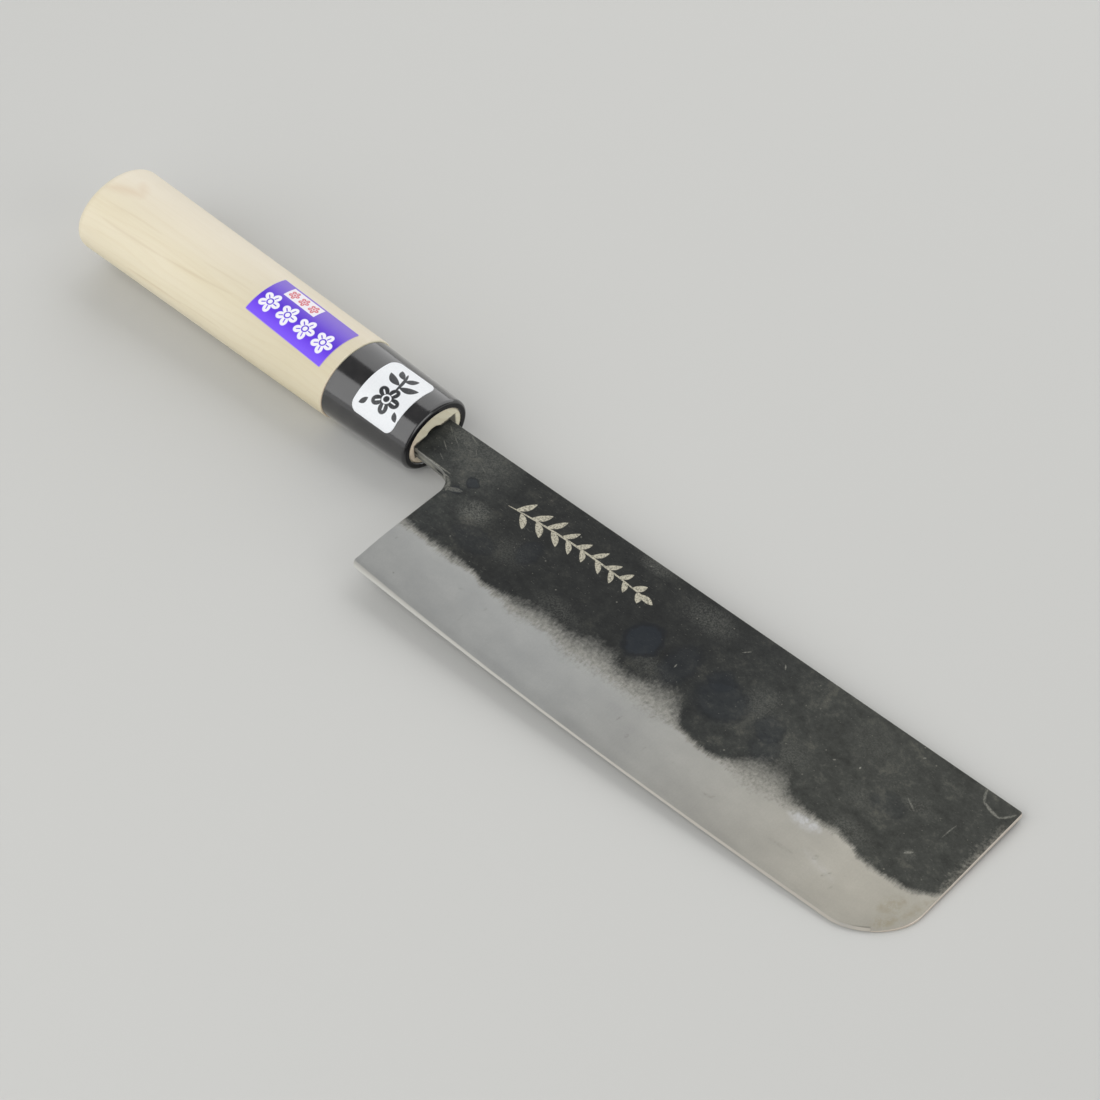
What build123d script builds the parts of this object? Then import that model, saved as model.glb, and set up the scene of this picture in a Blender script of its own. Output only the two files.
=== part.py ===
from build123d import *
from math import cos, radians, sin, sqrt, tan
import os

os.makedirs("parts", exist_ok=True)

# Nakiri kitchen knife: a laminated blade with a rounded tip corner, burned by its tang into an
# oval wooden handle with a ferrule. Sizes are in millimetres and degrees.
# Along runs from the heel of the blade to its tip, across from the cutting edge to the spine,
# and out towards the right side of the blade.

# Blade outline
blade_length = 164.8
heel_height = 50.5
spine_rise = 1
edge_radius = 2250
belly_from_heel = 77
heel_corner_radius = 2
heel_lean = 0.7
tip_corner_length = 15
tip_corner_height = 14
tip_corner_pull_share = 0.46
tip_point_radius = 0.8

# Neck and tang
neck_length = 14
neck_height = 13.9
neck_flat_share = 0.65
choil_radius = 5.5
tang_length = 84
tang_end_back_drop = 2.1
tang_end_height = 6
tang_end_thickness = 2
tang_corner_radius = 1.2

# Blade thickness and grinding
heel_thickness = 3.3
tip_thickness = 1.5
flat_fall = 0.2
bevel_height = 18
bevel_bulge_share = 0.09
edge_thickness = 0.24
honed_thickness = 0.02
honing_angle = 15
honed_corner_share = 0.45
bar_rounding = 0.35
heel_core_thickness = 0.9
tip_core_thickness = 0.4

# Handle: oval sections at the ferrule's front, at the joint behind it and at the butt, each
# with its centre that far below the spine at the heel
ferrule_length = 29.1
grip_length = 96.5
front_height = 22.66
front_width = 18.3
front_centre_drop = 5.66
joint_height = 24.9
joint_width = 20
joint_centre_drop = 5.39
butt_height = 28.62
butt_width = 21.64
butt_centre_drop = 3.94
butt_rounding = 2.8
wood_step = 0.4
wood_edge_chamfer = 0.2

# Ferrule, and the tenon of the wood inside it
ferrule_wall = 2.1
ferrule_front_rounding = 1.1
ferrule_mouth_chamfer = 0.2
ferrule_rear_chamfer = 0.15
tenon_clearance = 0.05
tenon_recess = 0.2
tenon_chamfer = 0.25

# Slot that the tang burned into the wood, with a chip broken out beside its mouth
slot_clearance = 0.1
slot_spare_depth = 3
chip_width = 1.7
chip_depth = 2
chip_outline_shares = (
    (0.03, 0),
    (0.33, 0.3),
    (0.4, 0.75),
    (0.48, 1),
    (0.6, 0.94),
    (0.71, 0.5),
    (0.75, 0.1),
    (0.97, 0),
)

# Paper labels
paper_thickness = 0.12
handle_label_length = 29.1
handle_label_width = 13.8
handle_label_corner = 0.3
handle_label_from_joint = 3.85
handle_label_lean = 5.7
handle_label_turn = -2.8
ferrule_label_length = 14.4
ferrule_label_width = 17.5
ferrule_label_corner = 2.2
ferrule_label_from_front = 5.55
ferrule_label_lean = 17

# Room that cutting shapes have beyond the material
overrun = 5


tip_height = heel_height + spine_rise
neck_underside = heel_height - neck_height
tang_end_back = heel_height - tang_end_back_drop
tang_end_underside = tang_end_back - tang_end_height
front_centre = heel_height - front_centre_drop
joint_centre = heel_height - joint_centre_drop
butt_centre = heel_height - butt_centre_drop


def edge_height(along):
    return edge_radius - sqrt(edge_radius**2 - (along - belly_from_heel) ** 2)


def spine_height(along):
    return heel_height + spine_rise * along / blade_length


def tang_back_height(along):
    share = (ferrule_front - along) / tang_length
    return neck_back + (tang_end_back - neck_back) * share


def tang_underside_height(along):
    share = (heel_lean - along) / (heel_lean - tang_end)
    return neck_underside + (tang_end_underside - neck_underside) * share


# Distances from the middle plane to the flat, the ground bevel, the core and the tang
def flat_out(along, across):
    taper = (heel_thickness - tip_thickness) / 2 * along / blade_length
    fall = flat_fall * (tip_height - across) / (tip_height - bevel_height)
    return heel_thickness / 2 - taper - fall


def bevel_out(along, across):
    drop = flat_out(along, bevel_height) - edge_thickness / 2
    return edge_thickness / 2 + drop * across / bevel_height


def core_out(along):
    taper = (heel_core_thickness - tip_core_thickness) / 2 * along / blade_length
    return heel_core_thickness / 2 - taper


ferrule_front = -neck_length
joint = ferrule_front - ferrule_length
butt = joint - grip_length
tang_end = ferrule_front - tang_length
corner_start = blade_length - tip_corner_length
corner_end_height = edge_height(corner_start) + tip_corner_height
neck_back = spine_height(ferrule_front)
taper_start = -neck_length * neck_flat_share
neck_out = flat_out(taper_start, neck_back)

# The knife lies on its left side. The two ends of the ferrule and the tip touch the table, so
# the table is the plane through those three points, with its middle under the knife's.
rim_width = front_width + (joint_width - front_width) * ferrule_front_rounding / ferrule_length
rim_touch = Vector(ferrule_front - ferrule_front_rounding, front_centre, -rim_width / 2)
joint_touch = Vector(joint, joint_centre, -joint_width / 2 - wood_step)
tip_touch = Vector(blade_length, corner_end_height, -bevel_out(blade_length, corner_end_height))
table_normal = (joint_touch - rim_touch).cross(tip_touch - rim_touch).normalized()
knife_middle = Vector((blade_length + butt) / 2, (butt_centre + butt_height / 2) / 2)
table = Plane(
    origin=knife_middle - table_normal * (knife_middle - rim_touch).dot(table_normal),
    x_dir=Vector(0, 1, 0).cross(table_normal),
    z_dir=table_normal,
)
knife = Plane(table.location.inverse())
knife_length = Axis(knife.origin, knife.x_dir)


def place(along, across, out=0):
    return knife.from_local_coords(Vector(along, across, out))


def cross_plane(along, across=0):
    return Plane(origin=place(along, across), x_dir=knife.y_dir, z_dir=knife.x_dir)


# Faces that the right side of the bar is ground or forged to, each through three points
flat_face = Plane(
    [
        place(0, bevel_height, flat_out(0, bevel_height)),
        place(blade_length, bevel_height, flat_out(blade_length, bevel_height)),
        place(0, tip_height, flat_out(0, tip_height)),
    ]
)
tang_face = Plane(
    [
        place(tang_end, tang_end_underside, tang_end_thickness / 2),
        place(taper_start, neck_underside, flat_out(taper_start, neck_underside)),
        place(taper_start, neck_back, neck_out),
    ]
)
core_face = Plane(
    [
        place(0, 0, core_out(0)),
        place(blade_length, 0, core_out(blade_length)),
        place(0, bevel_height, core_out(0)),
    ]
)


def belly_arc(start):
    return ThreePointArc(
        (start, edge_height(start)), (belly_from_heel, 0), (corner_start, edge_height(corner_start))
    )


def oval(along, centre, height, width, growth):
    with BuildSketch(cross_plane(along, centre)) as section:
        Ellipse(height / 2 + growth, width / 2 + growth)
    return section.sketch


def oval_loft(stations, growth=0, mode=Mode.ADD):
    loft([oval(*station, growth) for station in stations], mode=mode)


ferrule_stations = (
    (ferrule_front, front_centre, front_height, front_width),
    (joint, joint_centre, joint_height, joint_width),
)
grip_stations = (
    (joint, joint_centre, joint_height + 2 * wood_step, joint_width + 2 * wood_step),
    (butt, butt_centre, butt_height, butt_width),
)

# Curve of the cutting edge, run out past the heel, and of the tip's lower corner
with BuildLine():
    belly = belly_arc(-overrun)
    tip_corner = Bezier(
        belly @ 1,
        belly @ 1 + belly % 1 * tip_corner_length * tip_corner_pull_share,
        (blade_length, corner_end_height - tip_corner_height * tip_corner_pull_share),
        (blade_length, corner_end_height),
    )

# Right half of the forged bar with its tang, from the middle plane outwards
with BuildPart() as half_bar:
    with BuildSketch(knife) as outline:
        with BuildLine():
            edge = belly_arc(0)
            add(tip_corner)
            Polyline(
                tip_corner @ 1,
                (blade_length, tip_height),
                (ferrule_front, neck_back),
                (tang_end, tang_end_back),
                (tang_end, tang_end_underside),
                (heel_lean, neck_underside),
                edge @ 0,
            )
        make_face()
        for corner, radius in (
            ((0, edge_height(0)), heel_corner_radius),
            ((blade_length, tip_height), tip_point_radius),
            ((tang_end, tang_end_back), tang_corner_radius),
            ((tang_end, tang_end_underside), tang_corner_radius),
            ((heel_lean, neck_underside), choil_radius),
        ):
            fillet(outline.vertices().sort_by_distance(corner)[0], radius)
    extrude(amount=heel_thickness)
    split(bisect_by=flat_face, keep=Keep.BOTTOM)
    half_blade = blade_length / 2
    flat_middle = place(half_blade, bevel_height, flat_out(half_blade, bevel_height))
    fillet(half_bar.faces().sort_by_distance(flat_middle)[0].edges(), bar_rounding)
    split(bisect_by=tang_face, keep=Keep.BOTTOM)

    # Bevel, ground slightly convex from the flat down to the edge
    for along in (-overrun, blade_length + overrun):
        top = flat_out(along, bevel_height)
        bulge = (top - edge_thickness / 2) * bevel_bulge_share
        with BuildSketch(cross_plane(along)):
            with BuildLine():
                ground = ThreePointArc(
                    (bevel_height, top),
                    (bevel_height / 2, bevel_out(along, bevel_height / 2) + bulge),
                    (0, edge_thickness / 2),
                )
                Polyline(
                    ground @ 1,
                    (-overrun, edge_thickness / 2),
                    (-overrun, overrun),
                    (bevel_height, overrun),
                    ground @ 0,
                )
            make_face()
    loft(mode=Mode.SUBTRACT)

    # Honed edge, as far as the middle of the tip corner
    with BuildLine(knife) as honing_path:
        belly_arc(-overrun)
        add(knife.from_local_coords(tip_corner.trim(0, honed_corner_share)))
    rise = overrun * tan(radians(honing_angle))
    with BuildSketch(
        Plane(origin=honing_path.line @ 0, x_dir=knife.z_dir, z_dir=honing_path.line % 0)
    ):
        Polygon(
            (honed_thickness / 2 - rise, overrun),
            (honed_thickness / 2 + rise, -overrun),
            (honed_thickness / 2 + rise, overrun),
            align=None,
        )
    sweep(path=honing_path.line, mode=Mode.SUBTRACT)

# Hard steel in the middle of the bar, bare at the edge
with BuildPart() as core_steel:
    add(half_bar.part)
    split(bisect_by=core_face, keep=Keep.BOTTOM)
    mirror(about=knife)
core_steel.part.label = "core_steel"

# Soft iron on both sides
with BuildPart() as cladding_right:
    add(half_bar.part)
    split(bisect_by=core_face, keep=Keep.TOP)
cladding_right.part.label = "cladding_right"

with BuildPart() as cladding_left:
    mirror(cladding_right.part, about=knife)
cladding_left.part.label = "cladding_left"

# Room for the tang, from the middle plane to the right
with BuildPart() as half_slot:
    with BuildSketch(knife):
        with BuildLine():
            mouth, end = ferrule_front + overrun, tang_end - slot_spare_depth
            Polyline(
                (mouth, tang_back_height(mouth)),
                (end, tang_back_height(end)),
                (end, tang_underside_height(end)),
                (mouth, tang_underside_height(mouth)),
                close=True,
            )
        make_face()
        offset(amount=slot_clearance, kind=Kind.INTERSECTION)
    extrude(amount=heel_thickness)
    split(bisect_by=tang_face.offset(slot_clearance), keep=Keep.BOTTOM)

# One piece of wood: the grip, and the tenon that runs through the ferrule
with BuildPart() as handle_wood:
    oval_loft(grip_stations)
    fillet(handle_wood.edges().sort_by(knife_length)[0], butt_rounding)
    chamfer(handle_wood.edges().sort_by(knife_length)[-1], wood_edge_chamfer)
    oval_loft(ferrule_stations, -ferrule_wall - tenon_clearance)
    split(bisect_by=cross_plane(ferrule_front - tenon_recess), keep=Keep.BOTTOM)
    chamfer(handle_wood.edges().sort_by(knife_length)[-1], tenon_chamfer)
    add(half_slot.part, mode=Mode.SUBTRACT)
    mirror(half_slot.part, about=knife, mode=Mode.SUBTRACT)
    neck_front = tang_underside_height(ferrule_front)
    with BuildSketch(cross_plane(ferrule_front, neck_front)):
        with BuildLine():
            chip_corners = [
                ((neck_back - neck_front) * across_share, neck_out + chip_width * out_share)
                for across_share, out_share in chip_outline_shares
            ]
            Polyline((0, 0), *chip_corners, (neck_back - neck_front, 0), close=True)
        make_face()
    extrude(amount=-chip_depth, mode=Mode.SUBTRACT)
handle_wood.part.label = "handle_wood"

# Ferrule, with a wall of even thickness
with BuildPart() as ferrule:
    oval_loft(ferrule_stations)
    fillet(ferrule.edges().sort_by(knife_length)[-1], ferrule_front_rounding)
    chamfer(ferrule.edges().sort_by(knife_length)[0], ferrule_rear_chamfer)
    oval_loft(ferrule_stations, -ferrule_wall, Mode.SUBTRACT)
    front_edges = ferrule.edges().group_by(knife_length)[-1]
    chamfer(front_edges.sort_by(SortBy.LENGTH)[0], ferrule_mouth_chamfer)
ferrule.part.label = "ferrule"


def label_plane(stations, along, lean):
    (front, first_centre, *_), (back, last_centre, *_) = stations
    centre = first_centre + (last_centre - first_centre) * (along - front) / (back - front)
    outward = knife.z_dir * cos(radians(lean)) - knife.y_dir * sin(radians(lean))
    return Plane(origin=place(along, centre), x_dir=knife.x_dir, z_dir=outward)


# Paper labels, each cut straight and wrapped round the oval under it
handle_label_middle = joint - handle_label_from_joint - handle_label_length / 2
ferrule_label_middle = ferrule_front - ferrule_label_from_front - ferrule_label_length / 2

with BuildPart() as handle_label:
    with BuildSketch(label_plane(grip_stations, handle_label_middle, handle_label_lean)):
        RectangleRounded(
            handle_label_length,
            handle_label_width,
            handle_label_corner,
            rotation=handle_label_turn,
        )
    extrude(amount=butt_width)
    oval_loft(grip_stations, paper_thickness, Mode.INTERSECT)
    oval_loft(grip_stations, mode=Mode.SUBTRACT)
handle_label.part.label = "handle_label"

with BuildPart() as ferrule_label:
    with BuildSketch(label_plane(ferrule_stations, ferrule_label_middle, ferrule_label_lean)):
        RectangleRounded(ferrule_label_length, ferrule_label_width, ferrule_label_corner)
    extrude(amount=joint_width)
    oval_loft(ferrule_stations, paper_thickness, Mode.INTERSECT)
    oval_loft(ferrule_stations, mode=Mode.SUBTRACT)
ferrule_label.part.label = "ferrule_label"

for piece in (
    core_steel,
    cladding_right,
    cladding_left,
    handle_wood,
    ferrule,
    handle_label,
    ferrule_label,
):
    export_step(piece.part, f"parts/{piece.part.label}.step")
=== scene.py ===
import math
import random

import bmesh
import bpy
from mathutils import Matrix, Vector


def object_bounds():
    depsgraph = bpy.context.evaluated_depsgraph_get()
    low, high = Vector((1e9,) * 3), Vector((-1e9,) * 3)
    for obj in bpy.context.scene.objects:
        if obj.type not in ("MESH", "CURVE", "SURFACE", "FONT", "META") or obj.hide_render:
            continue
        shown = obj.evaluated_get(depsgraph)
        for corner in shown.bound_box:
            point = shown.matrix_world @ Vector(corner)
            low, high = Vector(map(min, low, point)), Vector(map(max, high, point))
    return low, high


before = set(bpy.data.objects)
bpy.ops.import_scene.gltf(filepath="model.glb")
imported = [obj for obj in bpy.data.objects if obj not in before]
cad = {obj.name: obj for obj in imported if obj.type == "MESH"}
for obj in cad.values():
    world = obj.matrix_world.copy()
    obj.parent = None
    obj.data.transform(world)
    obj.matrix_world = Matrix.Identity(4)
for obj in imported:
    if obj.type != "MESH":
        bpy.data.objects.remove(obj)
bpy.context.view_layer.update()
print("frame loaded:", ", ".join(sorted(cad)))

# How the knife lies in the frame. Patterns are placed in its own millimetres:
# x along from the heel to the tip, y across from the edge to the spine, z out to the right side.
knife = {
    "origin": Vector((-0.01258826, -0.03043712, 0.00711532)),
    "axes": Matrix(
        (
            (0.99906847, 0.00134972, -0.04313195),
            (0.0, 0.99951074, 0.03127741),
            (0.04315307, -0.03124827, 0.99857967),
        )
    ),
    "handleCentre": 44.95,
}


# small helpers for node trees


def tint(red, green, blue):
    # a colour as a screen shows it, 0 to 255, turned into linear values
    shown = [level / 255 for level in (red, green, blue)]
    return [c / 12.92 if c <= 0.04045 else ((c + 0.055) / 1.055) ** 2.4 for c in shown] + [1.0]


def feed(tree, value, socket):
    if isinstance(value, bpy.types.NodeSocket):
        tree.links.new(value, socket)
    else:
        socket.default_value = value


def addNode(tree, kind, inputs=None, **settings):
    made = tree.nodes.new("ShaderNode" + kind)
    for name, value in settings.items():
        setattr(made, name, value)
    for name, value in (inputs or {}).items():
        feed(tree, value, made.inputs[name])
    return made


def calc(tree, operation, *values):
    return addNode(tree, "Math", dict(enumerate(values)), operation=operation).outputs[0]


def times(tree, first, second):
    return calc(tree, "MULTIPLY", first, second)


def plus(tree, first, second):
    return calc(tree, "ADD", first, second)


def minus(tree, first, second):
    return calc(tree, "SUBTRACT", first, second)


def without(tree, value, mask):
    # the value where the mask is 0, and nothing where it is 1
    return times(tree, value, minus(tree, 1.0, mask))


def weighted(tree, *shares):
    # the sum of values, each times its weight
    total = None
    for value, weight in shares:
        part = times(tree, value, weight)
        total = part if total is None else plus(tree, total, part)
    return total


def steps(tree, value, low, high, toLow=0.0, toHigh=1.0):
    # a smooth ramp from toLow at low to toHigh at high
    made = addNode(
        tree,
        "MapRange",
        {0: value, 1: low, 2: high, 3: toLow, 4: toHigh},
        interpolation_type="SMOOTHSTEP",
    )
    return made.outputs[0]


def mixColor(tree, share, first, second, blend="MIX"):
    made = addNode(tree, "Mix", {0: share, 6: first, 7: second}, data_type="RGBA", blend_type=blend)
    return made.outputs[2]


def mixValue(tree, share, first, second):
    return addNode(tree, "Mix", {0: share, 2: first, 3: second}, data_type="FLOAT").outputs[0]


def stretch(tree, vector, scale, turn=(0, 0, 0), move=(0, 0, 0)):
    made = addNode(tree, "Mapping", {"Vector": vector, "Scale": scale, "Rotation": turn, "Location": move})
    return made.outputs[0]


def noise(tree, vector, scale, detail, roughness, distortion=0.0):
    values = {
        "Vector": vector,
        "Scale": scale,
        "Detail": detail,
        "Roughness": roughness,
        "Distortion": distortion,
    }
    return addNode(tree, "TexNoise", values).outputs["Fac"]


def dot(tree, vector, other):
    return addNode(tree, "VectorMath", {0: vector, 1: other}, operation="DOT_PRODUCT").outputs["Value"]


def fromPoint(tree, vector, origin):
    # a place as seen from another origin
    return addNode(tree, "VectorMath", {0: vector, 1: origin}, operation="SUBTRACT").outputs[0]


def parts(tree, vector):
    # x, y and z by a dot product each: Separate XYZ takes up Cycles' memory for unread outputs too
    return [dot(tree, vector, axis) for axis in ((1, 0, 0), (0, 1, 0), (0, 0, 1))]


def point(tree, x, y):
    return addNode(tree, "CombineXYZ", {0: x, 1: y}).outputs[0]


def colorRamp(tree, value, stops):
    made = addNode(tree, "ValToRGB", {0: value})
    ramp = made.color_ramp
    ramp.elements[0].position, ramp.elements[0].color = stops[0]
    ramp.elements[1].position, ramp.elements[1].color = stops[-1]
    for place, color in stops[1:-1]:
        ramp.elements.new(place).color = color
    return made.outputs["Color"]


def topOf(tree, masks):
    result = masks[0]
    for mask in masks[1:]:
        result = calc(tree, "MAXIMUM", result, mask)
    return result


def newGroup(name, inputs, outputs):
    tree = bpy.data.node_groups.new(name, "ShaderNodeTree")
    for label, value in inputs.items():
        kind = "NodeSocketVector" if value is None else "NodeSocketFloat"
        socket = tree.interface.new_socket(name=label, in_out="INPUT", socket_type=kind)
        if value is not None:
            socket.default_value = value
    for label in outputs:
        kind = "NodeSocketColor" if label == "Color" else "NodeSocketFloat"
        tree.interface.new_socket(name=label, in_out="OUTPUT", socket_type=kind)
    given = tree.nodes.new("NodeGroupInput")
    result = tree.nodes.new("NodeGroupOutput")
    return tree, given.outputs, result


def finishGroup(tree, result, **values):
    for label, value in values.items():
        feed(tree, value, result.inputs[label])
    return tree


def useGroup(tree, group, inputs):
    made = tree.nodes.new("ShaderNodeGroup")
    made.node_tree = group
    for name, value in inputs.items():
        feed(tree, value, made.inputs[name])
    return made.outputs


def buildLeafStroke():
    # one leaf or brush stroke from (X, Y), tapered at both ends and bowed to one side
    tree, given, result = newGroup(
        "leafStroke",
        {
            "Vector": None,
            "X": 0.0,
            "Y": 0.0,
            "Angle": 0.0,
            "Length": 5.0,
            "Width": 1.0,
            "Bow": 0.0,
            "Fullness": 0.8,
            "Feather": 0.08,
        },
        ["Mask"],
    )
    moved = fromPoint(tree, given["Vector"], point(tree, given["X"], given["Y"]))
    cosine, sine = calc(tree, "COSINE", given["Angle"]), calc(tree, "SINE", given["Angle"])
    x = dot(tree, moved, point(tree, cosine, sine))
    y = dot(tree, moved, point(tree, times(tree, sine, -1.0), cosine))
    along = calc(tree, "DIVIDE", x, given["Length"])
    kept = addNode(tree, "Clamp", {0: along}).outputs[0]
    arch = calc(tree, "POWER", calc(tree, "SINE", times(tree, kept, math.pi)), given["Fullness"])
    spread = times(tree, times(tree, arch, given["Width"]), 0.5)
    bend = times(tree, without(tree, kept, kept), 4.0)
    offLine = calc(tree, "ABSOLUTE", minus(tree, y, times(tree, bend, given["Bow"])))
    inside = steps(
        tree,
        minus(tree, spread, offLine),
        times(tree, given["Feather"], -0.4),
        given["Feather"],
    )
    ends = times(tree, calc(tree, "GREATER_THAN", along, 0.0), calc(tree, "LESS_THAN", along, 1.0))
    return finishGroup(tree, result, Mask=times(tree, inside, ends))


def buildSpeckle():
    # scattered dots: Size is the pitch, Share the part of the places that carry a dot
    tree, given, result = newGroup(
        "speckle", {"Vector": None, "Size": 1.0, "Share": 0.3, "Radius": 0.3}, ["Mask"]
    )
    pitch = calc(tree, "DIVIDE", 1.0, given["Size"])
    cells = addNode(tree, "TexVoronoi", {"Vector": given["Vector"], "Scale": pitch})
    lot = addNode(tree, "TexWhiteNoise", {"Vector": cells.outputs["Position"]}).outputs["Value"]
    size = calc(tree, "FRACT", times(tree, lot, 37.0))
    radius = times(tree, given["Radius"], plus(tree, times(tree, size, 0.9), 0.25))
    grain = steps(tree, cells.outputs["Distance"], radius, times(tree, radius, 0.45))
    chosen = calc(tree, "LESS_THAN", lot, given["Share"])
    return finishGroup(tree, result, Mask=times(tree, grain, chosen))


steelTones = {
    "cool": [(0.3, tint(167, 168, 167)), (0.5, tint(175, 176, 174)), (0.7, tint(184, 185, 182))],
    "warm": [(0.3, tint(171, 167, 157)), (0.5, tint(180, 176, 165)), (0.7, tint(189, 185, 174))],
}


def buildGroundSteel():
    # steel off the grinding wheel: faint lines across the blade over soft clouds
    tree, given, result = newGroup(
        "groundSteel", {"Vector": None, "Tone": 1.0, "Warmth": 0.5}, ["Color", "Roughness", "Height"]
    )
    lines = noise(tree, stretch(tree, given["Vector"], (5.0, 0.16, 1.0), (0, 0, 0.12)), 1.0, 3.0, 0.6)
    cross = noise(tree, stretch(tree, given["Vector"], (0.12, 3.2, 1.0), (0, 0, -0.06)), 1.0, 2.0, 0.5)
    clouds = noise(tree, stretch(tree, given["Vector"], (0.09, 0.14, 0.2)), 1.0, 3.0, 0.6)
    fine = noise(tree, given["Vector"], 2.6, 2.0, 0.6)
    level = weighted(tree, (lines, 0.14), (clouds, 0.6), (fine, 0.26))
    cool = colorRamp(tree, level, steelTones["cool"])
    warm = colorRamp(tree, level, steelTones["warm"])
    color = mixColor(tree, given["Warmth"], cool, warm)
    color = addNode(tree, "HueSaturation", {"Color": color, "Value": given["Tone"]}).outputs[0]
    rough = plus(tree, 0.33, times(tree, level, 0.14))
    height = weighted(tree, (lines, 0.003), (cross, 0.0015))
    return finishGroup(tree, result, Color=color, Roughness=rough, Height=height)


forgeTones = {
    "skin": [
        (0.37, tint(23, 25, 25)),
        (0.45, tint(35, 37, 36)),
        (0.53, tint(46, 48, 46)),
        (0.63, tint(71, 71, 65)),
    ],
    "specks": tint(122, 121, 112),
}


def buildForgeSkin(speckle):
    # black oxide left by the fire: mottled, pitted, with shallow hammer marks, specks and fine scratches
    tree, given, result = newGroup(
        "forgeSkin", {"Vector": None, "Tone": 1.0}, ["Color", "Roughness", "Height"]
    )
    clouds = noise(tree, stretch(tree, given["Vector"], (0.085, 0.11, 0.2)), 1.0, 5.0, 0.62, 0.6)
    patches = stretch(tree, given["Vector"], (0.34, 0.4, 0.4), (0, 0, 0.5), (7, 3, 0))
    patches = noise(tree, patches, 1.0, 5.0, 0.68)
    grit = noise(tree, given["Vector"], 1.3, 5.0, 0.75)
    level = weighted(tree, (clouds, 0.34), (patches, 0.4), (grit, 0.26))
    color = colorRamp(tree, level, forgeTones["skin"])
    color = addNode(tree, "HueSaturation", {"Color": color, "Value": given["Tone"]}).outputs[0]
    masks = []
    for size, share, radius, strength in ((1.4, 0.2, 0.2, 0.6), (0.6, 0.16, 0.26, 0.35)):
        values = {"Vector": given["Vector"], "Size": size, "Share": share, "Radius": radius}
        masks.append(times(tree, useGroup(tree, speckle, values)["Mask"], strength))
    for turn, move in ((0.7, (0, 0, 0)), (-0.55, (11, 5, 0))):
        hairlines = stretch(tree, given["Vector"], (0.5, 5.0, 1.0), (0, 0, turn), move)
        hairlines = noise(tree, hairlines, 1.0, 2.0, 0.5)
        masks.append(steps(tree, hairlines, 0.68, 0.8, 0.0, 0.4))
    color = mixColor(tree, topOf(tree, masks), color, forgeTones["specks"])
    rough = plus(tree, 0.4, times(tree, grit, 0.26))
    dents = noise(tree, stretch(tree, given["Vector"], (0.16, 0.2, 0.2)), 1.0, 1.0, 0.4)
    pits = steps(tree, noise(tree, given["Vector"], 1.1, 2.0, 0.5), 0.36, 0.26)
    height = weighted(tree, (dents, 0.12), (grit, 0.045))
    height = minus(tree, height, times(tree, pits, 0.03))
    return finishGroup(tree, result, Color=color, Roughness=rough, Height=height)


def buildPaperPulp():
    # the felted surface of thin label paper
    tree, given, result = newGroup("paperPulp", {"Vector": None}, ["Tone", "Height"])
    fibres = noise(tree, stretch(tree, given["Vector"], (1.4, 6.0, 3.0), (0, 0, 0.5)), 1.0, 3.0, 0.6, 0.6)
    felt = noise(tree, stretch(tree, given["Vector"], (5.0, 1.6, 3.0), (0, 0, -0.3)), 1.0, 3.0, 0.6, 0.6)
    both = times(tree, plus(tree, fibres, felt), 0.5)
    waves = noise(tree, given["Vector"], 0.12, 1.0, 0.4)
    height = weighted(tree, (both, 0.012), (waves, 0.1))
    return finishGroup(tree, result, Tone=both, Height=height)


def buildHandling():
    # faint grease and dust from being handled
    tree, given, result = newGroup("handling", {"Vector": None}, ["Smudge", "Dust"])
    soft = noise(tree, given["Vector"], 0.16, 3.0, 0.6, 0.8)
    smudge = steps(tree, soft, 0.5, 0.72)
    grains = noise(tree, given["Vector"], 5.0, 2.0, 0.7)
    dust = steps(tree, grains, 0.66, 0.76)
    return finishGroup(tree, result, Smudge=smudge, Dust=dust)


def buildBlossom():
    # a flat blossom with five petals, a ring round its middle and a line down each petal
    tree, given, result = newGroup("blossom", {"Vector": None, "Radius": 3.0}, ["Mask"])
    x, y, _ = parts(tree, given["Vector"])
    turn = times(tree, calc(tree, "ARCTAN2", y, x), 2.5)
    away = addNode(tree, "VectorMath", {0: point(tree, x, y)}, operation="LENGTH").outputs["Value"]
    away = calc(tree, "DIVIDE", away, given["Radius"])
    petal = calc(tree, "POWER", calc(tree, "ABSOLUTE", calc(tree, "COSINE", turn)), 0.65)
    outline = plus(tree, 0.42, times(tree, petal, 0.58))
    body = steps(tree, minus(tree, away, outline), 0.04, -0.04)
    ring = steps(tree, calc(tree, "ABSOLUTE", minus(tree, away, 0.27)), 0.04, 0.08)
    offLine = times(tree, calc(tree, "ABSOLUTE", calc(tree, "SINE", turn)), away)
    line = times(tree, steps(tree, offLine, 0.15, 0.09), steps(tree, away, 0.78, 0.7))
    kept = minus(tree, 1.0, times(tree, line, steps(tree, away, 0.36, 0.4)))
    return finishGroup(tree, result, Mask=times(tree, times(tree, body, ring), kept))


leafStroke = buildLeafStroke()
blossom = buildBlossom()
speckle = buildSpeckle()
groundSteel = buildGroundSteel()
forgeSkin = buildForgeSkin(speckle)
paperPulp = buildPaperPulp()
handling = buildHandling()
print("shared effects built")


def newMaterial(name, **shader):
    made = bpy.data.materials.new(name)
    made.use_nodes = True
    tree = made.node_tree
    tree.nodes.clear()
    surface = addNode(tree, "BsdfPrincipled", shader)
    out = tree.nodes.new("ShaderNodeOutputMaterial")
    tree.links.new(surface.outputs[0], out.inputs["Surface"])
    return made, tree, surface


def knifePlace(tree):
    # object coordinates turned into the knife's own millimetres, and the way the surface faces
    given = tree.nodes.new("ShaderNodeTexCoord")
    move = knife["axes"] @ knife["origin"] * -1000
    turn = knife["axes"].to_euler()
    place = stretch(tree, given.outputs["Object"], (1000, 1000, 1000), turn, move)
    facing = stretch(tree, given.outputs["Normal"], (1, 1, 1), turn)
    return place, facing


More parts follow.
